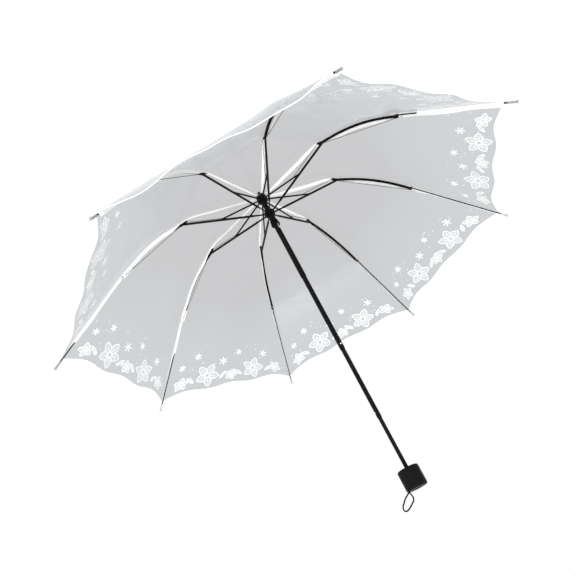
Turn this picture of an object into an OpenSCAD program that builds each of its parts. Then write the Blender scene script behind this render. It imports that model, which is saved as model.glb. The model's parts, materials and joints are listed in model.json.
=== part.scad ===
// Three-fold umbrella, open: eight folding ribs, a four-part telescopic shaft and a clear canopy.
// The origin is the middle of the grip, +Z runs up the shaft to the crown. Millimetres.

/* [Handle] */
// Diameter of the drum handle
handle_d = 37; // [32:0.5:44]
// Height of the drum handle
handle_h = 34; // [30:1:46]
// Radius of the drum's rounded rims
handle_round = 3; // [1:0.5:5]
// Diameter of the plug in the drum's underside
plug_d = 22; // [16:1:24]
// Thickness of that plug
plug_t = 2.4; // [1.6:0.2:4]
// Diameter of the wrist cord
cord_d = 2.4; // [2:0.1:3]

/* [Shaft] */
// Outer diameter of the top shaft tube
tube_1_d = 11.2; // [10.6:0.1:12]
// Outer diameter of the second tube
tube_2_d = 9.5; // [9.3:0.1:9.8]
// Outer diameter of the third tube
tube_3_d = 8.2; // [8:0.1:8.3]
// Outer diameter of the tube that the handle is on
tube_4_d = 6.9; // [6.6:0.1:7]
// Wall of each tube
tube_wall = 0.4; // [0.3:0.05:0.45]
// Crown pivots to the lower end of the top tube
tube_1_reach = 213; // [205:1:240]
// Shown length of the second tube
tube_2_reach = 171; // [165:1:185]
// Shown length of the third tube
tube_3_reach = 140; // [135:1:160]
// Shown length of the tube above the handle
tube_4_reach = 92; // [90:1:120]
// Length that each tube stays inside the one above it
tube_overlap = 28; // [22:1:34]
// Depth of the handle's socket
socket_depth = 26; // [18:1:28]
// Diameter of the spring buttons
button_d = 3; // [2:0.1:3.4]
// How far a spring button stands out of the outer tube
button_out = 0.9; // [0.5:0.1:1.2]

/* [Crown and runner] */
// Radius of the circle of pivots on the crown and on the runner
pivot_r = 9; // [8.8:0.1:11]
// Distance between the crown's and the runner's pivots when open
open_gap = 40; // [36:1:44]
// Radius of the crown's and the runner's slotted heads
head_r = 11.5; // [11:0.1:12.5]
// Diameter of the pivot wires
pivot_wire_d = 1; // [0.8:0.1:1.1]
// Length of the runner below its pivots
runner_drop = 34; // [28:1:36]
// Radius of the runner's finger flange
flange_r = 9.5; // [8.6:0.1:11]

/* [Ribs] */
// Length of the first rib, crown pivot to stretcher pivot
first_len = 96.1; // [90:0.5:100]
// Length of the stretcher beyond the first rib
stretcher_out = 76.3; // [70:0.5:82]
// Length of the second rib between its pivots
second_len = 166; // [160:1:176]
// Slope of the second rib when open
second_slope = 30; // [26:0.5:34]
// Rise of the second rib's bow
second_bow = 12; // [5:0.5:13]
// Length of the second rib's tail, inward of its pivot
tail_len = 12; // [8:0.5:13]
// Length of the third rib with its tip
third_len = 216; // [200:1:225]
// Slope of the third rib when open
third_slope = 43; // [38:0.5:48]
// Diameter of the third rib's rod
rod_d = 2.2; // [1.8:0.1:2.4]
// Sheet thickness of the rib channels
rib_wall = 0.3; // [0.25:0.05:0.45]
// Width of the first rib's channel
first_w = 2.4; // [2.2:0.05:2.7]
// Length of a rib tip
tip_len = 16; // [12:1:20]

/* [Canopy] */
// Thickness of the canopy film
film_t = 0.35; // [0.25:0.05:0.6]
// Room between the canopy and the ribs below it
film_gap = 1.3; // [1.1:0.1:2]
// How far the hem runs in between two tips
hem_dip = 18; // [8:1:22]
// Depth of the hem's small waves
wave_depth = 6; // [2:0.5:7]
// Radius of the top cap's rim
cap_r = 11; // [9:0.5:14]
// Height of the top cap
cap_h = 17; // [14:1:22]

/* [Hidden] */
RIBS = 8;
rib_names = [for (part = ["first_rib_", "stretcher_", "second_rib_", "third_rib_", "rib_tip_"])
             for (k = [1:RIBS]) str(part, k)];

// Clearances: of a running pin, of a piece beside its neighbour, of two seated pieces
pin_gap = 0.06;
side_gap = 0.15;
seat_gap = 0.05;
slip = 0.08;

// Heights, from the middle of the grip
handle_top = handle_h / 2;
crown_z = handle_top + tube_4_reach + tube_3_reach + tube_2_reach + tube_1_reach;
runner_z = crown_z - open_gap;
step_1_z = crown_z - tube_1_reach;
step_2_z = step_1_z - tube_2_reach;
step_3_z = step_2_z - tube_3_reach;

// Rib linkage, as [radius, height] points of the rib's own plane
arm = asin(open_gap / 2 / first_len);
crown_pivot = [pivot_r, crown_z];
runner_pivot = [pivot_r, runner_z];
elbow = along(crown_pivot, first_len, -arm);
knee = along(elbow, stretcher_out, arm);
function along(p, d, angle) = p + d * [cos(angle), sin(angle)];

// Rib sections: each channel wraps the one before it when the umbrella is closed
rib_h = first_w / 2;
stretcher_in = first_w + 2 * side_gap;
stretcher_w = stretcher_in + 2 * rib_wall;
stretcher_web = rib_h + side_gap + 0.1;
stretcher_low = stretcher_web + rib_wall;
second_in = stretcher_w + 2 * side_gap;
second_w = second_in + 2 * rib_wall;
second_web = stretcher_low + side_gap + 0.1;
second_high = second_web + rib_wall;
second_low = 1;
blade_t = 1.6;
eye_r = 1.6;
pin_r = 0.5;
stub_r = 0.6;
lift = second_high + rod_d / 2 + 0.4;
knuckle = along(along(knee, second_len, -second_slope), lift, 90 - second_slope);
slot_w = blade_t + 2 * side_gap;
head_h = 7;
post_r = 3.6;
film_bed = 6.3;
wire_r = 0.45;
guide_h = 5;
blade_run = 28;
$fn = 48;

// ---- helpers ----

// Puts a piece drawn along +X into the plane of rib k, at a pivot and a slope
module in_rib(k, pivot, slope) {
    rotate([0, 0, (k - 1) * 360 / RIBS])
        translate([pivot[0], 0, pivot[1]])
            rotate([0, -slope, 0]) children();
}

// A side profile given its width, middle at y
module plate(width, y = 0) {
    translate([0, y, 0]) rotate([90, 0, 0]) linear_extrude(width, center = true) children();
}

module cross_pin(x, z, r, width, y = 0) {
    translate([x, y, z]) rotate([90, 0, 0]) cylinder(r = r, h = width, center = true);
}

module box_2d(x0, x1, y0, y1) {
    translate([x0, y0]) square([x1 - x0, y1 - y0]);
}

module each_rib() {
    for (k = [1:RIBS]) rotate([0, 0, (k - 1) * 360 / RIBS]) children();
}

module ring_wire(r) {
    rotate_extrude($fn = 96) translate([pivot_r, 0]) circle(r = r, $fn = 16);
}

module slots(z0, z1, r0) {
    each_rib() translate([r0, -slot_w / 2, z0]) cube([head_r, slot_w, z1 - z0]);
}

// ---- handle ----

module drum_2d(r, h, round_r) {
    box_2d(0, r - round_r, -h / 2, h / 2);
    box_2d(0, r, -h / 2 + round_r, h / 2 - round_r);
    for (z = [-h / 2 + round_r, h / 2 - round_r]) translate([r - round_r, z]) circle(r = round_r);
}

module handle_drum() {
    color("#1b1b1c") difference() {
        rotate_extrude($fn = 96) drum_2d(handle_d / 2, handle_h, handle_round);
        translate([0, 0, handle_top - socket_depth]) cylinder(d = tube_4_d + 2 * seat_gap, h = handle_h);
        translate([0, 0, -handle_h]) cylinder(d = plug_d + 2 * seat_gap, h = handle_h / 2 + plug_t);
    }
}

module handle_plug() {
    color("#242425") translate([0, 0, -handle_top]) difference() {
        cylinder(d = plug_d, h = plug_t - seat_gap);
        translate([0, 0, -1]) cylinder(d = plug_d / 2, h = 1.6);
    }
}

// The wrist cord's route: out of the underside, round a loop and back in beside itself
loop_key = [
    [1.6, -13.5, -10], [1.6, -14.5, -13.5], [1.6, -16.5, -17], [1.6, -20.5, -19.5], [1.6, -26, -22.8],
    [1.3, -32, -28], [0.9, -36.9, -33.5], [0.5, -37.8, -36.2], [0.2, -36.9, -39], [0, -34.4, -40.5],
    [-0.3, -31.5, -40.2], [-0.7, -27, -38.2], [-1.1, -21.5, -35], [-1.4, -16.8, -31.8], [-1.6, -14, -28.3],
    [-1.6, -13.6, -24.3], [-1.6, -14.7, -20.3], [-1.6, -15.2, -16], [-1.6, -14.2, -12], [-1.6, -13.5, -10]];
loop_route = concat([for (i = [0:len(loop_key) - 2]) for (t = [0, 0.5]) curve_at(loop_key, i, t)],
                    [loop_key[len(loop_key) - 1]]);

// A point of the smooth curve through points p, at t between p[i] and the next
function curve_at(p, i, t) = let (a = p[max(i - 1, 0)], b = p[i], c = p[i + 1], d = p[min(i + 2, len(p) - 1)])
    (2 * b + (c - a) * t + (2 * a - 5 * b + 4 * c - d) * t * t + (3 * b - a - 3 * c + d) * t * t * t) / 2;
function unit(v) = v / norm(v);
function route_way(p, i) = unit(p[min(i + 1, len(p) - 1)] - p[max(i - 1, 0)]);
function ring_at(c, way, r, sides) = let (u = unit(cross(way, [1, 0, 0])), v = cross(way, u))
    [for (s = [0:sides - 1]) c + r * (cos(360 * s / sides) * u + sin(360 * s / sides) * v)];

module swept_tube(p, r, sides = 8) {
    rings = [for (i = [0:len(p) - 1]) each ring_at(p[i], route_way(p, i), r, sides)];
    walls = [for (i = [0:len(p) - 2]) for (s = [0:sides - 1])
        let (a = i * sides + s, b = i * sides + (s + 1) % sides)
        each [[a, b, a + sides], [b, b + sides, a + sides]]];
    ends = [[for (s = [sides - 1:-1:0]) s], [for (s = [0:sides - 1]) (len(p) - 1) * sides + s]];
    polyhedron(rings, concat(walls, ends));
}

module wrist_loop() {
    color("#161616") swept_tube(loop_route, cord_d / 2);
}

// ---- telescopic shaft ----

// A tube from z0 to z1, rolled in at its lower end to guide the tube inside it
module shaft_tube(d, z0, z1, guided_d) {
    bore = d - 2 * tube_wall;
    rotate_extrude() {
        translate([bore / 2, z0]) square([tube_wall, z1 - z0]);
        if (guided_d > 0)
            translate([guided_d / 2 + slip, z0]) square([bore / 2 - guided_d / 2 - slip + 0.01, guide_h]);
    }
}

// The flared top of an inner tube, which stops it leaving the outer tube
module flare(d, outer_d, z1) {
    bore = outer_d - 2 * tube_wall;
    rotate_extrude() translate([d / 2 - tube_wall, z1 - guide_h])
        square([bore / 2 - slip - d / 2 + tube_wall, guide_h]);
}

module button_hole(d, z, azimuth) {
    rotate([0, 0, azimuth]) translate([0, 0, z]) rotate([0, 90, 0])
        cylinder(d = button_d + 2 * pin_gap, h = d);
}

button_up = 10;
button_1_turn = 180;
button_2_turn = 0;
button_3_turn = -80;

module shaft_tube_4() {
    color("#202022") difference() {
        union() {
            shaft_tube(tube_4_d, handle_top - socket_depth + seat_gap, step_3_z + tube_overlap, 0);
            flare(tube_4_d, tube_3_d, step_3_z + tube_overlap);
        }
        button_hole(tube_3_d, step_3_z + button_up, button_3_turn);
    }
}

module shaft_tube_3() {
    color("#202022") difference() {
        union() {
            shaft_tube(tube_3_d, step_3_z, step_2_z + tube_overlap, tube_4_d);
            flare(tube_3_d, tube_2_d, step_2_z + tube_overlap);
        }
        button_hole(tube_3_d, step_3_z + button_up, button_3_turn);
        button_hole(tube_2_d, step_2_z + button_up, button_2_turn);
    }
}

module shaft_tube_2() {
    color("#202022") difference() {
        union() {
            shaft_tube(tube_2_d, step_2_z, step_1_z + tube_overlap, tube_3_d);
            flare(tube_2_d, tube_1_d, step_1_z + tube_overlap);
        }
        button_hole(tube_2_d, step_2_z + button_up, button_2_turn);
        button_hole(tube_1_d, step_1_z + button_up, button_1_turn);
    }
}

module shaft_tube_1() {
    color("#202022") difference() {
        shaft_tube(tube_1_d, step_1_z, crown_z + head_h / 2 - 1, tube_2_d);
        button_hole(tube_1_d, step_1_z + button_up, button_1_turn);
        catch_window();
    }
}

// A spring button: a round-nosed pin with a foot behind the inner tube's wall and its leaf spring
module spring_button(inner_d, outer_d, z, azimuth) {
    foot_r = inner_d / 2 - tube_wall - 0.7;
    nose = outer_d / 2 + button_out;
    color("#c9cacc") rotate([0, 0, azimuth]) translate([0, 0, z]) {
        rotate([0, 90, 0]) translate([0, 0, foot_r]) cylinder(d = button_d, h = nose - foot_r - 0.5);
        rotate([0, 90, 0]) translate([0, 0, nose - 0.5]) cylinder(d1 = button_d, d2 = button_d - 1, h = 0.5);
        translate([foot_r, -button_d / 2, -button_d / 2]) cube([0.3, button_d, button_d / 2 + 12]);
    }
}

module spring_button_1() {
    spring_button(tube_2_d, tube_1_d, step_1_z + button_up, button_1_turn);
}

module spring_button_2() {
    spring_button(tube_3_d, tube_2_d, step_2_z + button_up, button_2_turn);
}

module spring_button_3() {
    spring_button(tube_4_d, tube_3_d, step_3_z + button_up, button_3_turn);
}

// ---- runner ----

module runner() {
    sleeve_in = tube_1_d / 2 + 0.15;
    sleeve_r = pivot_r - eye_r - 0.4;
    color("#18181a") translate([0, 0, runner_z]) difference() {
        rotate_extrude($fn = 64) {
            translate([sleeve_in, -runner_drop]) square([sleeve_r - sleeve_in, runner_drop + head_h / 2 + 3]);
            translate([sleeve_in, -head_h / 2]) square([head_r - sleeve_in, head_h]);
            translate([sleeve_in, -runner_drop]) square([flange_r - sleeve_in, 4]);
            translate([sleeve_in, -runner_drop + 9]) square([flange_r - 1 - sleeve_in, 2]);
        }
        slots(-runner_drop - 1, head_h, sleeve_r);
        ring_wire(pivot_wire_d / 2 + seat_gap);
    }
}

// The pivot wire shows only in the fins between the slots
module runner_wire() {
    color("#8c8d90") translate([0, 0, runner_z]) difference() {
        ring_wire(pivot_wire_d / 2);
        slots(-head_h, head_h, 0);
    }
}

catch_h = 12;
catch_w = 2;
catch_turn = 360 / RIBS / 2;
catch_z = runner_z - runner_drop - 0.3;

module catch_window() {
    rotate([0, 0, catch_turn]) translate([0, -catch_w / 2 - side_gap, catch_z - catch_h - 1])
        cube([tube_1_d, catch_w + 2 * side_gap, catch_h + 2]);
}

// The spring catch below the open runner: a tongue with a sloping back
module runner_catch() {
    wall_r = tube_1_d / 2;
    color("#b9babd") rotate([0, 0, catch_turn]) translate([0, 0, catch_z]) plate(catch_w)
        polygon([[wall_r - 0.9, 0], [wall_r + 2, 0], [wall_r + 2, -1.5], [wall_r, -catch_h], [wall_r - 0.9, -catch_h]]);
}

// ---- crown ----

module crown() {
    skirt_r = pivot_r - eye_r - 0.4;
    bore_r = tube_1_d / 2 + seat_gap;
    color("#18181a") translate([0, 0, crown_z]) difference() {
        rotate_extrude($fn = 64) {
            box_2d(0, skirt_r, -6, film_bed - 0.3);
            box_2d(0, head_r, -head_h / 2, head_h / 2);
            box_2d(0, head_r - 2, -head_h / 2, head_h / 2 + 1.2);
            box_2d(0, post_r, 0, film_bed + 9);
        }
        translate([0, 0, -7]) cylinder(r = bore_r, h = 7 + head_h / 2 - 1 + seat_gap);
        slots(-7, eye_r + 0.7, skirt_r);
        ring_wire(pivot_wire_d / 2 + seat_gap);
    }
}

module crown_wire() {
    color("#8c8d90") translate([0, 0, crown_z]) ring_wire(pivot_wire_d / 2);
}

module top_cap() {
    base = film_bed + film_t + 0.3;
    color("#1b1b1c") translate([0, 0, crown_z + base]) difference() {
        rotate_extrude($fn = 64) {
            box_2d(0, cap_r, 0, 1.2);
            intersection() {
                box_2d(0, cap_r, 0, cap_h);
                translate([0, 1.2]) circle(r = cap_r - 1);
            }
            box_2d(0, 3.4, 0, cap_h - 3.4);
            intersection() {
                box_2d(0, cap_r, 0, cap_h);
                translate([0, cap_h - 3.4]) circle(r = 3.4);
            }
        }
        translate([0, 0, -1]) cylinder(r = post_r + seat_gap, h = 1 + 9 - film_t - 0.3 + seat_gap);
    }
}

// ---- ribs ----

// Rise of the second rib above the line of its pivots
function bow_at(x) = x < 0 ? 0 : 4 * second_bow * x / second_len * (1 - x / second_len);

module bowed_2d(x0, x1, low, high, steps = 10) {
    xs = [for (i = [0:steps]) x0 + (x1 - x0) * i / steps];
    polygon(concat([for (x = xs) [x, bow_at(x) + low]],
                   [for (i = [steps:-1:0]) [xs[i], bow_at(xs[i]) + high]]));
}

module first_rib(k) {
    color("#1d1d1f") in_rib(k, crown_pivot, -arm) difference() {
        union() {
            plate(blade_t) {
                circle(r = eye_r);
                box_2d(0, 10, -rib_h, rib_h);
            }
            plate(first_w) {
                box_2d(7, first_len, -rib_h, rib_h);
                translate([first_len, 0]) circle(r = rib_h);
            }
        }
        plate(first_w - 2 * rib_wall) box_2d(10, first_len - 4, -rib_h - 1, rib_h - rib_wall);
        cross_pin(0, 0, pivot_wire_d / 2 + 0.2, first_w + 1);
        cross_pin(first_len, 0, pin_r + pin_gap, first_w + 1);
    }
}

module stretcher(k) {
    far = first_len + stretcher_out;
    color("#1d1d1f") in_rib(k, runner_pivot, arm) {
        difference() {
            union() {
                plate(blade_t) {
                    circle(r = eye_r);
                    box_2d(0, blade_run, -eye_r, eye_r - 0.1);
                }
                plate(stretcher_w) {
                    box_2d(blade_run - 3, far, -stretcher_low, eye_r - 0.1);
                    translate([far, 0]) circle(r = eye_r);
                }
            }
            plate(stretcher_in) box_2d(blade_run, far + 5, -stretcher_web, eye_r + 1);
            cross_pin(0, 0, pivot_wire_d / 2 + 0.2, stretcher_w);
            cross_pin(far, 0, stub_r + pin_gap, stretcher_w + 1);
        }
        cross_pin(first_len, 0, pin_r, stretcher_in + rib_wall);
    }
}

module second_rib(k) {
    ear = lift + eye_r + 0.2;
    wire_y = second_w / 2 + wire_r - 0.1;
    color("#1d1d1f") in_rib(k, knee, -second_slope) {
        difference() {
            plate(second_w) {
                bowed_2d(-tail_len, 0, -second_low, second_high, 1);
                bowed_2d(0, second_len, -second_low, second_high);
                box_2d(second_len - 4, second_len + eye_r, -second_low, lift);
                translate([second_len, lift]) circle(r = eye_r);
            }
            plate(second_in) {
                bowed_2d(-tail_len - 1, 0, -second_low - 1, second_web, 1);
                bowed_2d(0, second_len - 4, -second_low - 1, second_web);
                box_2d(second_len - 4.5, second_len + 5, -second_low - 1, ear + 1);
            }
        }
        cross_pin(second_len, lift, stub_r, second_in + rib_wall);
        for (side = [-1, 1])
            cross_pin(0, 0, stub_r, 0.6, side * (stretcher_in / 2 + 0.05 + 0.3));
        translate([3, wire_y, 0]) rotate([0, 90, 0]) cylinder(r = wire_r, h = second_len - 6);
    }
}

module third_rib(k) {
    color("#1d1d1f") in_rib(k, knuckle, -third_slope) difference() {
        union() {
            plate(2.4) circle(r = eye_r);
            rotate([0, 90, 0]) cylinder(d = rod_d, h = third_len - tip_len / 2);
        }
        cross_pin(0, 0, stub_r + pin_gap, 4);
    }
}

module rib_tip(k) {
    color("#9b9da0") in_rib(k, knuckle, -third_slope) translate([third_len - tip_len, 0, 0]) rotate([0, 90, 0])
        difference() {
            union() {
                cylinder(r = rod_d / 2 + 0.7, h = tip_len - 3);
                translate([0, 0, tip_len - 3.5]) cylinder(r1 = rod_d / 2 + 0.7, r2 = rod_d / 2 + 1.1, h = 1.5);
                translate([0, 0, tip_len - 2]) cylinder(r = rod_d / 2 + 1.1, h = 2);
            }
            translate([0, 0, -1]) cylinder(r = rod_d / 2 + seat_gap, h = 1 + tip_len / 2 + seat_gap);
        }
}

// ---- canopy ----

// The seam line above a rib, crown to tip, as [radius, height]
knuckle_run = third_len - tip_len - 1;
seam = concat(
    [[post_r + 0.3, crown_z + film_bed], [head_r + 3, crown_z + film_bed], [knee[0] * 0.6, crown_z + film_bed]],
    [along(along(knee, -tail_len, -second_slope), second_high + film_gap, 90 - second_slope)],
    [for (x = [20, 60, 100, 135, second_len])
        along(along(knee, x, -second_slope), max(bow_at(x) + second_high, x > 150 ? lift + eye_r : 0) + film_gap,
              90 - second_slope)],
    [for (x = [12, knuckle_run / 3, knuckle_run * 2 / 3, knuckle_run])
        along(along(knuckle, x, -third_slope), (x < 13 ? eye_r : rod_d / 2) + film_gap, 90 - third_slope)]);
run_to = [for (i = 0, s = 0; i < len(seam); s = s + (i + 1 < len(seam) ? norm(seam[i + 1] - seam[i]) : 0), i = i + 1) s];
seam_len = run_to[len(run_to) - 1];
seam_r = [for (i = [0:len(seam) - 1]) [run_to[i], seam[i][0]]];
seam_z = [for (i = [0:len(seam) - 1]) [run_to[i], seam[i][1]]];

gore_cols = 6;
waves = 3;

// How far the hem lies inside the line of the tips, at fraction f of a gore
function hem_in(f) = (1 - pow(abs(2 * f - 1), 8)) * (hem_dip - wave_depth * pow(cos(180 * waves * f), 2));
function seam_point(k, s) = let (a = k * 360 / RIBS, r = lookup(s, seam_r))
    [r * cos(a), r * sin(a), lookup(s, seam_z)];
function film_point(c, run) =
    let (k = floor(c / gore_cols), f = c / gore_cols - k, s = run - hem_in(f) * pow(run / seam_len, 8))
    (1 - f) * seam_point(k, s) + f * seam_point(k + 1, s);

module canopy() {
    n = RIBS * gore_cols;
    m = len(seam);
    upper = [for (run = run_to) for (c = [0:n - 1]) film_point(c, run) + [0, 0, film_t]];
    lower = [for (run = run_to) for (c = [0:n - 1]) film_point(c, run)];
    under = m * n;
    skin = [for (i = [0:m - 2]) for (c = [0:n - 1])
        let (a = i * n + c, b = i * n + (c + 1) % n)
        each [[a, a + n, b], [b, a + n, b + n], [under + a, under + b, under + a + n],
              [under + b, under + b + n, under + a + n]]];
    edges = [for (c = [0:n - 1])
        let (a = c, b = (c + 1) % n, e = (m - 1) * n + c, g = (m - 1) * n + (c + 1) % n)
        each [[a, b, under + a], [b, under + b, under + a], [e, under + e, g], [g, under + e, under + g]]];
    color("#d8dddf", 0.6) polyhedron(concat(upper, lower), concat(skin, edges));
}

// ---- drawing ----

handle_drum();
handle_plug();
wrist_loop();
shaft_tube_4();
shaft_tube_3();
shaft_tube_2();
shaft_tube_1();
spring_button_1();
spring_button_2();
spring_button_3();
runner();
runner_wire();
runner_catch();
crown();
crown_wire();
top_cap();
canopy();
for (k = [1:RIBS]) {
    first_rib(k);
    stretcher(k);
    second_rib(k);
    third_rib(k);
    rib_tip(k);
}
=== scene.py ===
"""Looks of the open three-fold umbrella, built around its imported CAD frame. Metres, in the row frame."""

import json
import math

import bpy
import numpy as np
from mathutils import Matrix, Vector


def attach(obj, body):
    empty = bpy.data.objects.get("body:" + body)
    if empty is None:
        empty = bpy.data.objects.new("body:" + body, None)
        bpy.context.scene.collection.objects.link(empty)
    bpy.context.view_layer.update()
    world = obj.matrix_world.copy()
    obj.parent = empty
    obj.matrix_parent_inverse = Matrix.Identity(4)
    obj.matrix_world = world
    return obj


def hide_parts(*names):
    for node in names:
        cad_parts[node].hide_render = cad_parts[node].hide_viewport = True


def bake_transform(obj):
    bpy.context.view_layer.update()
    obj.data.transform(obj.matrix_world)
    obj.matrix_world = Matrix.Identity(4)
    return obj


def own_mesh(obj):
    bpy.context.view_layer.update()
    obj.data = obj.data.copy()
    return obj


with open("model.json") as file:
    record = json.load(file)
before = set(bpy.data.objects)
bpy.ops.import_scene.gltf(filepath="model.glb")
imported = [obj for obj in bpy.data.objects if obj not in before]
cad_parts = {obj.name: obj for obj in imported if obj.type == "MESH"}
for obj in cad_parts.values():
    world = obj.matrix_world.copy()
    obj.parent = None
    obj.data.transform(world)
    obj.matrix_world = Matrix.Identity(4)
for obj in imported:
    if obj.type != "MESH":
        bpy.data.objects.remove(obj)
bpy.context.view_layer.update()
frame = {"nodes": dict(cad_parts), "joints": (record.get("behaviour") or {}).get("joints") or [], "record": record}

MM = 0.001
RIBS = 8
GORE = 2 * math.pi / RIBS
RANDOM_SEED = 7


# ---- camera: from below the hem, looking up under the canopy ----

CAMERA_AT = Vector((0.9111, -0.3267, -0.1151))
CAMERA_RIGHT = Vector((0.0577, 0.9138, -0.402))
CAMERA_DOWN = Vector((-0.5442, -0.3089, -0.7801))
CAMERA_LENS = 35.18


def make_camera():
    data = bpy.data.cameras.new("camera")
    data.lens = CAMERA_LENS
    data.sensor_width = 36
    data.clip_start = 0.01
    data.clip_end = 50
    camera = bpy.data.objects.new("camera", data)
    right, up = CAMERA_RIGHT.normalized(), -CAMERA_DOWN.normalized()
    back = right.cross(up)
    turn = Matrix((right, up, back)).transposed().to_4x4()
    camera.matrix_world = Matrix.Translation(CAMERA_AT) @ turn
    bpy.context.scene.collection.objects.link(camera)
    bpy.context.scene.camera = camera


make_camera()
bpy.context.scene.view_settings.view_transform = "Standard"


# ---- the rib linkage, read from the frame as [radius, height] in rib 1's plane ----

JOINT_AT = {j["name"]: j.get("pos_m") for j in frame["joints"]}


def joint_point(name):
    x, _, z = JOINT_AT[name]
    return np.array([x, z])


def along(point, distance, slope):
    return point + distance * np.array([math.cos(slope), math.sin(slope)])


CROWN = joint_point("rib_fold_1")
ELBOW = joint_point("stretcher_hinge_1")
KNEE = joint_point("second_rib_hinge_1")
KNUCKLE = joint_point("third_rib_hinge_1")

SECOND_SLOPE = math.radians(-30)
THIRD_SLOPE = math.radians(-43)
SECOND_UP = SECOND_SLOPE + math.pi / 2
THIRD_UP = THIRD_SLOPE + math.pi / 2
SECOND_WAY = np.array([math.cos(SECOND_SLOPE), math.sin(SECOND_SLOPE)])
THIRD_WAY = np.array([math.cos(THIRD_SLOPE), math.sin(THIRD_SLOPE)])
SECOND_LEN = float((KNUCKLE - KNEE) @ SECOND_WAY)
TIP_POINTS = np.array([v.co for v in frame["nodes"]["rib_tip_1"].data.vertices])
THIRD_LEN = float(((TIP_POINTS[:, [0, 2]] - KNUCKLE) @ THIRD_WAY).max())

# Sections of the ribs, as in the CAD
SECOND_HIGH = 2.3 * MM
SECOND_WIDE = 2.1 * MM
STRETCHER_WIDE = 1.65 * MM
SECOND_BOW = 12 * MM
TAIL = 12 * MM
EYE = 1.6 * MM
LIFT = 3.8 * MM
ROD = 1.1 * MM
TIP_LEN = 16 * MM
FILM_GAP = 1.45 * MM
FILM_BED = 6.4 * MM
POST = 3.9 * MM
HEAD = 14.5 * MM
SEAM_STOPS = (20 * MM, 60 * MM, 100 * MM, 135 * MM)
KNUCKLE_REACH = 12 * MM


def bow(x):
    return 4 * SECOND_BOW * x / SECOND_LEN * (1 - x / SECOND_LEN)


# ---- the film: its seam above a rib, and the gores between two seams ----


def seam_controls():
    bed = CROWN[1] + FILM_BED
    points = [[POST, bed], [HEAD, bed], [KNEE[0] * 0.6, bed]]
    tail = along(along(KNEE, -TAIL, SECOND_SLOPE), SECOND_HIGH + FILM_GAP, SECOND_UP)
    points.append(tail)
    for x in (*SEAM_STOPS, SECOND_LEN):
        high = max(bow(x) + SECOND_HIGH, LIFT + EYE if x > SEAM_STOPS[-1] else 0)
        points.append(along(along(KNEE, x, SECOND_SLOPE), high + FILM_GAP, SECOND_UP))
    run = THIRD_LEN - TIP_LEN - 1 * MM
    for x in (KNUCKLE_REACH, run / 3, run * 2 / 3, run):
        high = EYE if x <= KNUCKLE_REACH else ROD
        points.append(along(along(KNUCKLE, x, THIRD_SLOPE), high + FILM_GAP, THIRD_UP))
    return np.array(points)


def smooth_line(points, steps=24):
    """A Catmull-Rom curve through the points, and the arc length at each point."""
    gaps = np.linalg.norm(np.diff(points, axis=0), axis=1)
    slopes = np.diff(points, axis=0) / gaps[:, None]
    tangents = np.empty_like(points)
    tangents[0], tangents[-1] = slopes[0], slopes[-1]
    share = (gaps[:-1] / (gaps[:-1] + gaps[1:]))[:, None]
    tangents[1:-1] = slopes[:-1] * (1 - share) + slopes[1:] * share
    t = np.linspace(0, 1, steps, endpoint=False)[:, None]
    spans = []
    for i, gap in enumerate(gaps):
        a, b = points[i], points[i + 1]
        m, n = tangents[i] * gap, tangents[i + 1] * gap
        spans.append(
            (2 * t**3 - 3 * t**2 + 1) * a
            + (t**3 - 2 * t**2 + t) * m
            + (3 * t**2 - 2 * t**3) * b
            + (t**3 - t**2) * n
        )
    line = np.vstack([*spans, points[-1:]])
    length = np.concatenate([[0], np.cumsum(np.linalg.norm(np.diff(line, axis=0), axis=1))])
    return line, length, length[::steps]


SEAM, SEAM_RUN, CONTROL_RUN = smooth_line(seam_controls())
RUN_END = SEAM_RUN[-1]
RUN_TAIL = CONTROL_RUN[3]
RUN_KNEE = CONTROL_RUN[4] - SEAM_STOPS[0]
RUN_JOIN = CONTROL_RUN[9]
HEM_DIP = 18 * MM
WAVE_DEPTH = 6 * MM
WAVES = 3
CRINKLE = 0.5 * MM
# Inward curl of a gore's loose edge, at even steps from one rib to the next: usual, and between ribs 8 and 1
CURL = np.array([0, 3.5, 1, 2.5, 1, 3.5, 0]) * MM
LAST_CURL = np.array([0, 7, 0, 2, 9, 9, 0]) * MM
LAST_BULGE = np.array([0, 1, 0, 1, 4, 7, 0]) * MM
GORE_PHASE = np.random.default_rng(RANDOM_SEED).uniform(0, 2 * math.pi, (RIBS, 4))


def hem_in(f):
    """How far the hem lies inside the line of the tips, at fraction f of a gore."""
    return (1 - np.abs(2 * f - 1) ** 8) * (HEM_DIP - WAVE_DEPTH * np.cos(math.pi * WAVES * f) ** 2)


def seam_point(k, run):
    """The seam above rib k, counted from 0, at that length from the crown."""
    radius = np.interp(run, SEAM_RUN, SEAM[:, 0])
    height = np.interp(run, SEAM_RUN, SEAM[:, 1])
    return np.stack([radius * np.cos(k * GORE), radius * np.sin(k * GORE), height], axis=-1)


def crinkle(gore, f, run):
    """Shallow wrinkles of the film, zero along the seams."""
    phase = GORE_PHASE[gore.astype(int) % RIBS]
    across, down = f * 2 * math.pi, run / MM
    waves = np.sin(3 * across + down / 34 + phase[..., 0])
    waves += 0.7 * np.sin(5 * across - down / 21 + phase[..., 1])
    waves += 0.5 * np.sin(down / 13 + 2 * across + phase[..., 2])
    far = np.clip(run / RUN_END, 0, 1)
    return CRINKLE * waves * 4 * f * (1 - f) * far


def film_flat(c, run):
    gore = np.floor(c)
    f = (c - gore)[..., None]
    s = run - hem_in(c - gore) * (run / RUN_END) ** 8
    return (1 - f) * seam_point(gore, s) + f * seam_point(gore + 1, s)


def eased(f, values):
    """Values at even steps of f from 0 to 1, joined by half waves."""
    place = np.clip(f, 0, 1) * (len(values) - 1)
    step = np.minimum(place.astype(int), len(values) - 2)
    share = 0.5 - 0.5 * np.cos(math.pi * (place - step))
    return values[step] * (1 - share) + values[step + 1] * share


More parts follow.
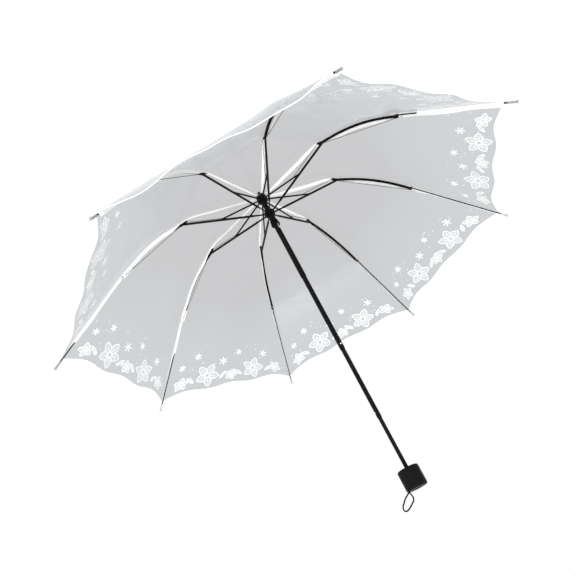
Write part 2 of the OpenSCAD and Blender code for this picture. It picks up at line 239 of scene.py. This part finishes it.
def sag(gore, f, run):
    """How far the film hangs inwards of its tight surface towards the loose edge."""
    past = np.clip((run - RUN_JOIN) / (RUN_END - RUN_JOIN), 0, 1)
    usual = eased(f, CURL) * past**1.5
    last = eased(f, LAST_CURL) * past**1.5 - eased(f, LAST_BULGE) * np.sin(math.pi * past)
    return np.where(gore.astype(int) % RIBS == RIBS - 1, last, usual)


def film_normal(c, run):
    dc, ds = 1e-3, 0.4 * MM
    across = film_flat(c + dc, run) - film_flat(c - dc, run)
    down = film_flat(c, np.minimum(run + ds, RUN_END)) - film_flat(c, run - ds)
    n = np.cross(down, across)
    return n / np.linalg.norm(n, axis=-1, keepdims=True)


def film(c, run, lift=0.0):
    """Points of the film, where rib k is at c = k - 1, and run is the length from the crown."""
    c, run = np.broadcast_arrays(np.asarray(c, float), np.asarray(run, float))
    gore = np.floor(c)
    raised = crinkle(gore, c - gore, run) - sag(gore, c - gore, run) + lift
    return film_flat(c, run) + film_normal(c, run) * raised[..., None]


# ---- mesh helpers ----


def mesh_piece(name, points, faces, materials, smooth=True, face_material=None):
    mesh = bpy.data.meshes.new(name)
    mesh.from_pydata([tuple(p) for p in np.asarray(points, float)], [], [tuple(f) for f in faces])
    for material in materials:
        mesh.materials.append(material)
    mesh.polygons.foreach_set("use_smooth", [smooth] * len(mesh.polygons))
    if face_material is not None:
        mesh.polygons.foreach_set("material_index", face_material)
    mesh.update()
    piece = bpy.data.objects.new(name, mesh)
    bpy.context.scene.collection.objects.link(piece)
    return piece


def grid_faces(rows, cols, closed=False, first=0):
    faces = []
    for i in range(rows - 1):
        for j in range(cols if closed else cols - 1):
            a, b = first + i * cols + j, first + i * cols + (j + 1) % cols
            faces.append((a, a + cols, b + cols, b))
    return faces


def grid_piece(name, points, material, normals=None):
    rows, cols = points.shape[:2]
    piece = mesh_piece(name, points.reshape(-1, 3), grid_faces(rows, cols), [material])
    if normals is not None:
        piece.data.normals_split_custom_set_from_vertices([tuple(n) for n in normals.reshape(-1, 3)])
    return piece


def swept_piece(name, rings, material, smooth=True):
    """A closed bar through rings of points, with its two ends filled."""
    count, sides = rings.shape[:2]
    faces = grid_faces(count, sides, closed=True)
    faces.append(tuple(range(sides)))
    faces.append(tuple((count - 1) * sides + s for s in reversed(range(sides))))
    return mesh_piece(name, rings.reshape(-1, 3), faces, [material], smooth)


def radial(k):
    return np.array([math.cos(k * GORE), math.sin(k * GORE), 0])


def tangential(k):
    return np.array([-math.sin(k * GORE), math.cos(k * GORE), 0])


# ---- materials ----

FILM_ALPHA = 0.48
FILM_INNER = (0.09, 0.092, 0.108)
FILM_OUTER = (0.14, 0.168, 0.185)
# Colour of the painted sheen where the film is seen edge on
FILM_SHEEN = (0.64, 0.7, 0.73)
# Colour of the painted glints along the film's crinkles
CRINKLE_GLINT = (0.9, 0.92, 0.93)
# Heights between which the film's colour goes from the hem's to the crown's
TONE_LOW = 0.44
TONE_SPAN = 0.2


def new_material(name, color, roughness, **sockets):
    """A Principled material whose constant values sit on its own sockets."""
    material = bpy.data.materials.new(name)
    material.use_nodes = True
    shader = material.node_tree.nodes["Principled BSDF"]
    shader.inputs["Base Color"].default_value = (*color, 1)
    shader.inputs["Roughness"].default_value = roughness
    for socket, value in sockets.items():
        shader.inputs[socket.replace("_", " ")].default_value = value
    return material, material.node_tree, shader


def object_place(tree):
    return tree.nodes.new("ShaderNodeTexCoord").outputs["Object"]


def noise(tree, place, scale, detail=3.0, distortion=0.0, stretch=None):
    if stretch:
        mapping = tree.nodes.new("ShaderNodeMapping")
        mapping.inputs["Scale"].default_value = stretch
        tree.links.new(place, mapping.inputs["Vector"])
        place = mapping.outputs["Vector"]
    node = tree.nodes.new("ShaderNodeTexNoise")
    node.inputs["Scale"].default_value = scale
    node.inputs["Detail"].default_value = detail
    node.inputs["Distortion"].default_value = distortion
    tree.links.new(place, node.inputs["Vector"])
    return node.outputs["Fac"]


def ramp(tree, value, stops):
    node = tree.nodes.new("ShaderNodeValToRGB")
    elements = node.color_ramp.elements
    for element, (at, color) in zip(elements, stops[:2]):
        element.position, element.color = at, (*color, 1)
    for at, color in stops[2:]:
        elements.new(at).color = (*color, 1)
    tree.links.new(value, node.inputs["Fac"])
    return node.outputs["Color"]


def spread(tree, value, low, high):
    node = tree.nodes.new("ShaderNodeMapRange")
    node.inputs["To Min"].default_value = low
    node.inputs["To Max"].default_value = high
    tree.links.new(value, node.inputs["Value"])
    return node.outputs["Result"]


def bump(tree, shader, value, strength, distance):
    node = tree.nodes.new("ShaderNodeBump")
    node.inputs["Strength"].default_value = strength
    node.inputs["Distance"].default_value = distance
    tree.links.new(value, node.inputs["Height"])
    tree.links.new(node.outputs["Normal"], shader.inputs["Normal"])


def math_node(tree, operation, a, b):
    """A Math node of two inputs, each a socket or a number."""
    node = tree.nodes.new("ShaderNodeMath")
    node.operation = operation
    for slot, value in zip(node.inputs, (a, b)):
        if isinstance(value, (int, float)):
            slot.default_value = value
        else:
            tree.links.new(value, slot)
    return node.outputs["Value"]


def mix_color(tree, share, a, b):
    node = tree.nodes.new("ShaderNodeMix")
    node.data_type = "RGBA"
    for slot, value in ((0, share), (6, a), (7, b)):
        if isinstance(value, tuple):
            node.inputs[slot].default_value = (*value, 1)
        else:
            tree.links.new(value, node.inputs[slot])
    return node.outputs[2]


def peak(tree, value, at, half):
    """1 where the value is at that level, falling to 0 at half that width away."""
    away = math_node(tree, "ABSOLUTE", math_node(tree, "SUBTRACT", value, at), 0.0)
    near = math_node(tree, "SUBTRACT", 1.0, math_node(tree, "DIVIDE", away, half))
    return math_node(tree, "MAXIMUM", near, 0.0)


def film_material():
    """Clear film: pinkish grey inside, bluish towards the hem, with painted glints along its crinkles and a
    painted sheen where it is seen edge on.
    """
    material, tree, shader = new_material(
        "clear_film", (0.2, 0.21, 0.22), 0.18, Alpha=0.5, Specular_IOR_Level=0.5
    )
    place = object_place(tree)
    split = tree.nodes.new("ShaderNodeSeparateXYZ")
    tree.links.new(place, split.inputs[0])
    height = math_node(tree, "DIVIDE", math_node(tree, "SUBTRACT", split.outputs["Z"], TONE_LOW), TONE_SPAN)
    blotch = math_node(tree, "MULTIPLY", math_node(tree, "SUBTRACT", noise(tree, place, 6, 2), 0.5), 0.9)
    tone = ramp(tree, math_node(tree, "ADD", height, blotch), [(0.25, FILM_OUTER), (0.8, FILM_INNER)])
    # Painted glints: thin streaks along the crinkles, in patches and mostly on the film's +X side, turn the colour
    # white and the film more opaque
    glint_streaks = peak(tree, noise(tree, place, 17, 4, 1.6), 0.5, 0.035)
    glint_patches = ramp(tree, noise(tree, place, 5, 2), [(0.48, (0, 0, 0)), (0.62, (1, 1, 1))])
    towards = math_node(tree, "MULTIPLY", split.outputs["X"], 2.2)
    near = ramp(tree, towards, [(0.5, (0.03,) * 3), (0.85, (0.9,) * 3)])
    crinkle_glint = math_node(tree, "MULTIPLY", math_node(tree, "MULTIPLY", glint_streaks, glint_patches), near)
    # Painted sheen: where the film is seen edge on, its colour goes towards FILM_SHEEN and it grows more opaque
    edge = tree.nodes.new("ShaderNodeLayerWeight")
    edge.inputs["Blend"].default_value = 0.5
    gloss = math_node(tree, "POWER", edge.outputs["Facing"], 5.0)
    sheen = math_node(tree, "MINIMUM", math_node(tree, "MULTIPLY", gloss, 0.9), 1.0)
    tone = mix_color(tree, sheen, tone, FILM_SHEEN)
    tree.links.new(mix_color(tree, crinkle_glint, tone, CRINKLE_GLINT), shader.inputs["Base Color"])
    sheen_cover = spread(tree, gloss, FILM_ALPHA, 0.95)
    cover = math_node(tree, "ADD", sheen_cover, math_node(tree, "MULTIPLY", crinkle_glint, 0.4))
    tree.links.new(cover, shader.inputs["Alpha"])
    bump(tree, shader, noise(tree, place, 26, 5, 1.2), 0.4, 1 * MM)
    return material


def white_film_material(name, alpha, color=(0.97, 0.975, 0.975)):
    material, tree, shader = new_material(name, color, 0.4, Alpha=alpha)
    shade = noise(tree, object_place(tree), 60, 3)
    low = tuple(0.95 * v for v in color)
    tree.links.new(ramp(tree, shade, [(0.3, low), (0.7, color)]), shader.inputs["Base Color"])
    bump(tree, shader, shade, 0.2, 0.3 * MM)
    return material


def painted_material(name, color, roughness, grain=500.0):
    material, tree, shader = new_material(name, color, roughness, Specular_IOR_Level=0.07)
    place = object_place(tree)
    wear = noise(tree, place, 40, 4)
    tree.links.new(spread(tree, wear, roughness * 0.8, roughness * 1.25), shader.inputs["Roughness"])
    light = tuple(1.6 * v for v in color)
    tree.links.new(ramp(tree, wear, [(0.4, color), (0.75, light)]), shader.inputs["Base Color"])
    bump(tree, shader, noise(tree, place, grain, 2), 0.25, 0.1 * MM)
    return material


def steel_material(name, color, roughness):
    material, tree, shader = new_material(name, color, roughness, Metallic=1.0)
    place = object_place(tree)
    lines = noise(tree, place, 90, 4, stretch=(1, 1, 12))
    tree.links.new(spread(tree, lines, roughness * 0.75, roughness * 1.3), shader.inputs["Roughness"])
    bump(tree, shader, lines, 0.2, 0.1 * MM)
    return material


def cord_material():
    material, tree, shader = new_material("cord", (0.003, 0.003, 0.003), 0.8, Specular_IOR_Level=0.05)
    place = object_place(tree)
    fibres = noise(tree, place, 900, 4)
    tree.links.new(
        ramp(tree, fibres, [(0.3, (0.0015, 0.0015, 0.0015)), (0.75, (0.005, 0.005, 0.0055))]),
        shader.inputs["Base Color"],
    )
    bump(tree, shader, fibres, 0.6, 0.3 * MM)
    return material


FILM = film_material()
TAPE = white_film_material("seam_tape", 0.92)
INK_LINE = white_film_material("ink_line", 0.8, (0.95, 0.96, 0.96))
INK_WASH = white_film_material("ink_wash", 0.26, (0.92, 0.94, 0.95))
FINISHES = {
    "rib_steel": painted_material("rib_steel", (0.004, 0.004, 0.0045), 0.4),
    "black_steel": painted_material("black_steel", (0.005, 0.005, 0.006), 0.35, 300),
    "bright_steel": steel_material("bright_steel", (0.75, 0.75, 0.76), 0.25),
    "tip_metal": steel_material("tip_metal", (0.42, 0.42, 0.43), 0.4),
    "handle_plastic": painted_material("handle_plastic", (0.004, 0.004, 0.0045), 0.45, 700),
    "fitting_plastic": painted_material("fitting_plastic", (0.004, 0.004, 0.0045), 0.42, 600),
    "cord": cord_material(),
    "clear_film": FILM,
}


def finish_cad_nodes():
    for subpart in frame["record"]["subparts"]:
        mesh = frame["nodes"][subpart["node"]].data
        mesh.materials.clear()
        mesh.materials.append(FINISHES[subpart["material_slot"]])


finish_cad_nodes()


# ---- wrist cord: the route of the CAD's cord, as a braided tube ----

CORD_D = 2.4 * MM
CORD_SIDES = 16
CORD_STEP = 0.7 * MM
CORD_LAY = 7 * MM
CORD_STRANDS = 4
LOOP_KEY = [
    (1.6, -13.5, -10), (1.6, -14.5, -13.5), (1.6, -16.5, -17), (1.6, -20.5, -19.5), (1.6, -26, -22.8),
    (1.3, -32, -28), (0.9, -36.9, -33.5), (0.5, -37.8, -36.2), (0.2, -36.9, -39), (0, -34.4, -40.5),
    (-0.3, -31.5, -40.2), (-0.7, -27, -38.2), (-1.1, -21.5, -35), (-1.4, -16.8, -31.8), (-1.6, -14, -28.3),
    (-1.6, -13.6, -24.3), (-1.6, -14.7, -20.3), (-1.6, -15.2, -16), (-1.6, -14.2, -12), (-1.6, -13.5, -10),
]


def cord_rings(line, diameter):
    """Rings round the line whose radius swells where two strands of the braid cross."""
    way = np.gradient(line, axis=0)
    way /= np.linalg.norm(way, axis=1, keepdims=True)
    side = np.cross(way, [1.0, 0, 0])
    side /= np.linalg.norm(side, axis=1, keepdims=True)
    other = np.cross(way, side)
    run = np.concatenate([[0], np.cumsum(np.linalg.norm(np.diff(line, axis=0), axis=1))])[:, None]
    turn = np.arange(CORD_SIDES)[None, :] * 2 * math.pi / CORD_SIDES
    twist = 2 * math.pi * run / CORD_LAY
    weave = np.cos(CORD_STRANDS * (turn + twist)) * np.cos(CORD_STRANDS * (turn - twist))
    radius = (diameter / 2 * (0.95 + 0.05 * weave))[..., None]
    spokes = np.cos(turn)[..., None] * side[:, None] + np.sin(turn)[..., None] * other[:, None]
    return line[:, None] + radius * spokes


def make_wrist_loop():
    route = np.array(LOOP_KEY) * MM
    line, run, _ = smooth_line(route, 8)
    steps = np.linspace(0, run[-1], int(run[-1] / CORD_STEP))
    fine = np.stack([np.interp(steps, run, line[:, i]) for i in range(3)], axis=1)
    loop = swept_piece("wrist_cord", cord_rings(fine, CORD_D), FINISHES["cord"])
    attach(loop, "grip")
    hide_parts("wrist_loop")


make_wrist_loop()


# ---- canopy film, cut where it folds ----

COLS = 32
TOPS_PER_GORE = 4
TOP_RUNS = np.concatenate([np.linspace(0, CONTROL_RUN[1], 3)[:-1], np.linspace(CONTROL_RUN[1], RUN_TAIL, 16)])
MIDDLE_RUNS = np.linspace(RUN_TAIL, RUN_JOIN, 26)
OUTER_RUNS = np.linspace(RUN_JOIN, RUN_END, 30)


def gather_top(piece):
    """The film inside the knees rides on the shaft, with a mesh of its own."""
    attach(piece, "shaft_1")
    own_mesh(piece)


def gather_side(piece, k, body):
    """The film beside rib k rides on the given body of rib k, with a mesh of its own."""
    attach(piece, f"{body}_{k}")
    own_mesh(piece)


def film_piece(name, columns, runs):
    c, run = np.meshgrid(columns, runs)
    points = film(c, run)
    piece = grid_piece(name, points, FILM, film_normal(c, run))
    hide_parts("canopy")
    return piece, points


def make_top_film():
    half = COLS // TOPS_PER_GORE // 2
    for j in range(RIBS * TOPS_PER_GORE):
        c = j / TOPS_PER_GORE
        columns = c + np.arange(-half, half + 1) / COLS
        piece, points = film_piece(f"film_top_{j + 1}", columns, TOP_RUNS)
        gather_top(piece)


# ---- seam tapes: a flat tape under the film with a flap that hangs beside the rib ----

TAPE_IN = -0.8 * MM
TAPE_OUT = 3.7 * MM
TAPE_T = 0.3 * MM
TAPE_DROP = 0.25 * MM
FLAP = 9.5 * MM
FLAP_TOP = 4.5 * MM
FLAP_LOW = 1.8 * MM
# Share of the third rib along which the flap hangs at its full height, rib by rib
FLAP_SHARE = (1, 1, 0.04, 0.04, 0.04, 0.37, 0.73, 1)


def flap_height(k, run):
    """Height of the flap beside rib k, counted from 0, which stays above the second rib's wire."""
    if run < RUN_KNEE:
        return FLAP_TOP
    along_second = min(run - RUN_KNEE, SECOND_LEN)
    above_wire = bow(along_second) + SECOND_HIGH + FILM_GAP - 1 * MM
    past = (run - RUN_JOIN) / (RUN_END - RUN_JOIN) - FLAP_SHARE[k]
    if run < RUN_JOIN:
        return min(FLAP, above_wire)
    full = FLAP * (0.75 + 0.1 * math.sin(run / (17 * MM) + k))
    return full + (FLAP_LOW - full) * min(1, max(0, past / 0.12))


def seam_section(k, run):
    """A point of the seam of rib k, counted from 0, with the ways across the rib and out of the film."""
    gore = np.float64(k)
    across = tangential(k)
    up = np.cross(seam_point(gore, min(run + MM, RUN_END)) - seam_point(gore, run - MM), across)
    return seam_point(gore, run), across, up / np.linalg.norm(up)


def tape_rings(k, runs):
    """Closed sections of the tape under the seam of rib k, counted from 0."""
    rings = []
    for run in runs:
        base, across, up = seam_section(k, run)
        flap = flap_height(k, run)
        lean = 0.4 * MM * (1 + math.sin(run / (23 * MM) + 2 * k))
        outline = [
            (TAPE_IN, -TAPE_DROP), (TAPE_OUT, -TAPE_DROP), (TAPE_OUT + lean, -flap),
            (TAPE_OUT + lean - TAPE_T, -flap), (TAPE_OUT - TAPE_T, -TAPE_DROP - TAPE_T),
            (TAPE_IN, -TAPE_DROP - TAPE_T),
        ]
        rings.append([base + across * y + up * z for y, z in outline])
    return np.array(rings)


def make_tapes(k):
    runs = np.linspace(CONTROL_RUN[1] + 2 * MM, RUN_TAIL, 14)
    top = swept_piece(f"tape_top_{k}", tape_rings(k - 1, runs), TAPE, smooth=False)
    gather_top(top)
    runs = np.linspace(RUN_TAIL, RUN_END, 46)
    long = swept_piece(f"tape_{k}", tape_rings(k - 1, runs), TAPE, smooth=False)
    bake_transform(long)
    return top, long


# ---- sleeves: white film folded under the outer rods of the five ribs that show little black there ----

# Rib, and the shares of its third rib between which the sleeve hangs
SLEEVES = {1: (0.02, 0.97), 2: (0.15, 0.97), 6: (-0.04, 0.37), 7: (-0.04, 0.78), 8: (-0.04, 0.97)}
SLEEVE_OUTLINE = [
    (-1.9, -0.5), (-1.9, -3.2), (-1.1, -4.3), (1.1, -4.3), (1.9, -3.2), (1.9, -0.5),
    (1.6, -0.5), (1.6, -3.1), (1, -4), (-1, -4), (-1.6, -3.1), (-1.6, -0.5),
]


# The knuckle of the three ribs nearest the lens is wrapped as well, in a wider and deeper fold
WRAPPED = (6, 7, 8)
WRAP_OUTLINE = [
    (-2.7, -0.5), (-2.7, -7.2), (-1.7, -8.2), (1.7, -8.2), (2.7, -7.2), (2.7, -0.5),
    (2.4, -0.5), (2.4, -7.1), (1.6, -7.9), (-1.6, -7.9), (-2.4, -7.1), (-2.4, -0.5),
]
WRAP_BACK = 22 * MM
WRAP_PAST = 3 * MM


def fold_piece(name, k, runs, outline):
    """A folded strip that hangs from the seam above rib k."""
    rings = []
    for run in runs:
        base, across, up = seam_section(k - 1, run)
        rings.append([base + across * y * MM + up * z * MM for y, z in outline])
    return swept_piece(name, np.array(rings), TAPE, smooth=False)


def make_sleeves():
    for k, (start, end) in SLEEVES.items():
        runs = RUN_JOIN + np.linspace(start, end, 30) * (RUN_END - RUN_JOIN)
        sleeve = fold_piece(f"sleeve_{k}", k, runs, SLEEVE_OUTLINE)
        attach(sleeve, f"third_rib_body_{k}")
    for k in WRAPPED:
        runs = np.linspace(CONTROL_RUN[8] - WRAP_BACK, CONTROL_RUN[8] + EYE + WRAP_PAST, 6)
        wrap = fold_piece(f"knuckle_wrap_{k}", k, runs, WRAP_OUTLINE)
        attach(wrap, f"second_rib_body_{k}")


make_sleeves()


# ---- hem: a narrow white binding folded over the film's edge ----

HEM_W = 3.4 * MM
HEM_T = 0.4 * MM


def make_hem(k):
    c = k - 1 + np.arange(-COLS, COLS + 1) / (2 * COLS)
    rings = []
    for inset, lift in ((0, HEM_T), (0, -HEM_T), (HEM_W, -HEM_T), (HEM_W, HEM_T)):
        rings.append(film(c, np.full(c.shape, RUN_END - inset), lift))
    hem = swept_piece(f"hem_{k}", np.stack(rings, axis=1), TAPE, smooth=False)
    gather_side(hem, k, "third_rib_body")
    return hem


# ---- printed border: line-drawn five-petal blossoms, leaves, stars and dots ----

INK_LIFT = -0.3 * MM
LINE_W = 1.9 * MM
STAR_LINE_W = 2.6 * MM
PETAL_POINTS = 12


class Drawing:
    """Strokes and washes drawn on the film round a rib, gathered into one mesh."""

    def __init__(self):
        self.points, self.faces, self.kinds = [], [], []

    def quads(self, c0, run0, left, right, kind):
        """A band between two lines of local points (across, towards the crown), in metres."""
        first = len(self.points)
        for (u, v), (p, q) in zip(left, right):
            self.points += [(c0, run0, u, v), (c0, run0, p, q)]
        for i in range(len(left) - 1):
            a = first + 2 * i
            self.faces.append((a, a + 1, a + 3, a + 2))
            self.kinds.append(kind)

    def stroke(self, c0, run0, line, width):
        line = np.asarray(line, float)
        way = np.gradient(line, axis=0)
        way /= np.maximum(np.linalg.norm(way, axis=1, keepdims=True), 1e-9)
        side = np.stack([-way[:, 1], way[:, 0]], axis=1) * width / 2
        self.quads(c0, run0, line + side, line - side, 0)

    def petal(self, c0, run0, centre, angle, inner, outer, half, vein=True, line=LINE_W):
        x = np.linspace(0, 1, PETAL_POINTS)
        wide = half * np.sin(math.pi * x**0.85) ** 0.8
        reach = inner + (outer - inner) * x
        turn = np.array([[math.cos(angle), math.sin(angle)], [-math.sin(angle), math.cos(angle)]])
        left = np.stack([reach, wide], axis=1) @ turn + centre
        right = np.stack([reach, -wide], axis=1) @ turn + centre
        self.quads(c0, run0, left, right, 1)
        self.stroke(c0, run0, left, line)
        self.stroke(c0, run0, right, line)
        if vein:
            middle = np.stack([reach[:7], np.zeros(7)], axis=1) @ turn + centre
            self.stroke(c0, run0, middle, line * 0.7)

    def blossom(self, c0, run0, size, turn, petals=5):
        for i in range(petals):
            angle = turn + i * 2 * math.pi / petals
            self.petal(c0, run0, np.zeros(2), angle, 0.07 * size, 0.5 * size, 0.15 * size)

    def leaf(self, c0, run0, size, angle):
        self.petal(c0, run0, np.zeros(2), angle, 0, size, 0.16 * size)

    def star(self, c0, run0, size, turn):
        for i in range(6):
            angle = turn + i * math.pi / 3
            tip = np.array([math.cos(angle), math.sin(angle)]) * size / 2
            self.stroke(c0, run0, [tip * 0.05, tip * 0.5, tip], STAR_LINE_W)

    def spot(self, c0, run0, centre, radius):
        t = np.linspace(-math.pi / 2, math.pi / 2, 5)
        left = np.stack([-np.cos(t), np.sin(t)], axis=1) * radius + centre
        right = np.stack([np.cos(t), np.sin(t)], axis=1) * radius + centre
        self.quads(c0, run0, left, right, 0)

    def piece(self, name):
        c0, run0, u, v = np.array(self.points).T
        run = run0 - v
        width = 2 * np.interp(run, SEAM_RUN, SEAM[:, 0]) * math.sin(GORE / 2)
        points = film(c0 + u / width, np.minimum(run, RUN_END - HEM_W), INK_LIFT)
        return mesh_piece(name, points, self.faces, [INK_LINE, INK_WASH], face_material=self.kinds)


# Blossoms across a gore: (fraction of the gore, distance from the hem line, size)
BLOSSOMS = [(0.12, 30, 36), (0.31, 40, 60), (0.5, 29, 34), (0.69, 42, 64), (0.89, 28, 36)]
LEAVES = [(0.21, 24, 22, 2.4), (0.41, 27, 26, 0.7), (0.59, 26, 24, 2.3), (0.8, 24, 24, 0.8)]
STARS = [(0.2, 76, 20), (0.42, 92, 16), (0.56, 74, 22), (0.78, 96, 18), (0.9, 72, 16)]
DOTS = 16
# Distance of a dot from the hem line, and its radius, in mm
DOT_BAND = (24, 112)
DOT_SIZE = (0.8, 1.6)


def draw_border(k, draw):
    """What belongs to rib k: the second half of the gore before it and the first half of the one after."""
    rng = np.random.default_rng(RANDOM_SEED + 31 * k)
    for gore, low, high in ((k - 2, 0.5, 1.0), (k - 1, 0.0, 0.5)):
        for f, out, size in BLOSSOMS:
            turn = rng.uniform(0, 2 * math.pi)
            if low <= f < high:
                draw.blossom(gore + f, RUN_END - out * MM, size * MM, turn)
        for f, out, size, angle in LEAVES:
            if low <= f < high:
                draw.leaf(gore + f, RUN_END - out * MM, size * MM, angle + rng.uniform(-0.3, 0.3))
        for f, out, size in STARS:
            if low <= f < high:
                draw.star(gore + f, RUN_END - out * MM, size * MM, rng.uniform(0, 1))
        for _ in range(DOTS):
            f, out = rng.uniform(low + 0.04, high - 0.04), rng.uniform(*DOT_BAND) * MM
            draw.spot(gore + f, RUN_END - out, np.zeros(2), rng.uniform(*DOT_SIZE) * MM)


def make_print(k):
    draw = Drawing()
    draw_border(k, draw)
    border = draw.piece(f"print_{k}")
    gather_side(border, k, "third_rib_body")
    return border


def make_canopy():
    make_top_film()
    half = np.arange(-COLS // 2, COLS // 2 + 1) / COLS
    for k in range(1, RIBS + 1):
        columns = k - 1 + half
        _, tape = make_tapes(k)
        middle, points = film_piece(f"film_middle_{k}", columns, MIDDLE_RUNS)
        gather_side(middle, k, "second_rib_body")
        outer, points = film_piece(f"film_outer_{k}", columns, OUTER_RUNS)
        gather_side(outer, k, "third_rib_body")
        make_hem(k)
        make_print(k)


make_canopy()


# ---- linkage details: link wires and rivet heads ----

LINK_R = 0.5 * MM
LINK_BACK = 15 * MM
LINK_SIDE = -2.7 * MM
RIVET_R = 1.25 * MM
RIVET_H = 0.6 * MM


def rib_space(point, y, k):
    """A point of rib k's plane, [radius, height], moved sideways by y."""
    return radial(k - 1) * point[0] + tangential(k - 1) * y + np.array([0, 0, point[1]])


def wire_rings(line, radius, sides=8):
    way = np.gradient(line, axis=0)
    way /= np.linalg.norm(way, axis=1, keepdims=True)
    side = np.cross(way, [0, 0, 1.0])
    side /= np.linalg.norm(side, axis=1, keepdims=True)
    other = np.cross(way, side)
    turn = np.arange(sides)[None, :, None] * 2 * math.pi / sides
    return line[:, None] + radius * (np.cos(turn) * side[:, None] + np.sin(turn) * other[:, None])


def make_link(k):
    """The thin wire from the first rib to the second rib's tail."""
    back = (CROWN - ELBOW) / np.linalg.norm(CROWN - ELBOW)
    start = ELBOW + back * LINK_BACK
    end = along(KNEE, -TAIL + 1.5 * MM, SECOND_SLOPE)
    sides = np.array([-1.0 * MM, LINK_SIDE, LINK_SIDE, -2.2 * MM])
    shares = np.array([0, 0.03, 0.97, 1.0])
    line = np.array([rib_space(start + (end - start) * t, y, k) for t, y in zip(shares, sides)])
    link = swept_piece(f"link_wire_{k}", wire_rings(line, LINK_R), FINISHES["rib_steel"])
    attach(link, f"stretcher_body_{k}")
    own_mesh(link)


def rivet_rings(centre, across, start):
    """A domed head that starts at this distance from the rib's plane."""
    profile = [
        (RIVET_R, 0), (RIVET_R, 0.35 * RIVET_H), (0.75 * RIVET_R, 0.8 * RIVET_H), (0.2 * RIVET_R, RIVET_H),
    ]
    up = np.array([0, 0, 1.0])
    side = np.cross(across, up)
    turn = np.arange(12) * 2 * math.pi / 12
    rings = []
    for radius, rise in profile:
        middle = centre + across * (start + rise)
        rings.append([middle + radius * (math.cos(t) * side + math.sin(t) * up) for t in turn])
    return np.array(rings)


def make_rivets(k):
    pins = (
        ("elbow", ELBOW, STRETCHER_WIDE, "stretcher_body"),
        ("knee", KNEE, SECOND_WIDE, "second_rib_body"),
        ("knuckle", KNUCKLE, SECOND_WIDE, "second_rib_body"),
    )
    for label, point, start, body in pins:
        for side, hand in (("a", 1), ("b", -1)):
            across = tangential(k - 1) * hand
            rings = rivet_rings(rib_space(point, 0, k), across, start)
            head = swept_piece(f"{label}_rivet_{k}{side}", rings, FINISHES["rib_steel"])
            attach(head, f"{body}_{k}")


for rib in range(1, RIBS + 1):
    make_link(rib)
    make_rivets(rib)


# ---- floor, world and lamps ----

FLOOR_Z = -1.3
FLOOR_R = 3.0
FLOOR_SIDES = 64
WORLD_LIGHT = 1.0


def make_floor():
    turns = np.linspace(0, 2 * math.pi, FLOOR_SIDES + 1)[:-1]
    points = [(FLOOR_R * math.cos(t), FLOOR_R * math.sin(t), FLOOR_Z) for t in turns]
    material, tree, shader = new_material("floor", (0.86, 0.86, 0.86), 0.6)
    shade = noise(tree, object_place(tree), 3, 2)
    tree.links.new(
        ramp(tree, shade, [(0.3, (0.85, 0.85, 0.85)), (0.7, (0.87, 0.87, 0.87))]), shader.inputs["Base Color"]
    )
    floor = mesh_piece("floor", points, [tuple(range(FLOOR_SIDES))], [material], smooth=False)


def make_world():
    """White behind the object, and a plain soft light from all round on it."""
    world = bpy.data.worlds.new("studio")
    bpy.context.scene.world = world
    world.use_nodes = True
    tree = world.node_tree
    tree.nodes.clear()
    output = tree.nodes.new("ShaderNodeOutputWorld")
    seen, light = tree.nodes.new("ShaderNodeBackground"), tree.nodes.new("ShaderNodeBackground")
    seen.inputs["Color"].default_value = (1, 1, 1, 1)
    light.inputs["Color"].default_value = (1, 1, 1, 1)
    light.inputs["Strength"].default_value = WORLD_LIGHT
    path, mix = tree.nodes.new("ShaderNodeLightPath"), tree.nodes.new("ShaderNodeMixShader")
    straight = math_node(
        tree, "MAXIMUM", path.outputs["Is Camera Ray"], path.outputs["Is Transmission Ray"]
    )
    tree.links.new(straight, mix.inputs["Fac"])
    tree.links.new(light.outputs[0], mix.inputs[1])
    tree.links.new(seen.outputs[0], mix.inputs[2])
    tree.links.new(mix.outputs[0], output.inputs["Surface"])


def make_lamp(name, place, aim, power, size, spread_deg=180):
    data = bpy.data.lights.new(name, "AREA")
    data.energy, data.size, data.spread = power, size, math.radians(spread_deg)
    lamp = bpy.data.objects.new(name, data)
    lamp.location = place
    lamp.rotation_euler = (Vector(aim) - Vector(place)).to_track_quat("-Z", "Y").to_euler()
    bpy.context.scene.collection.objects.link(lamp)


make_floor()
make_world()
make_lamp("key", (1.2, -1.6, 1.9), (0, 0, 0.5), 9, 1.4)
make_lamp("fill", (0.9, -0.5, -1.1), (0, 0, 0.55), 20, 1.6, 110)
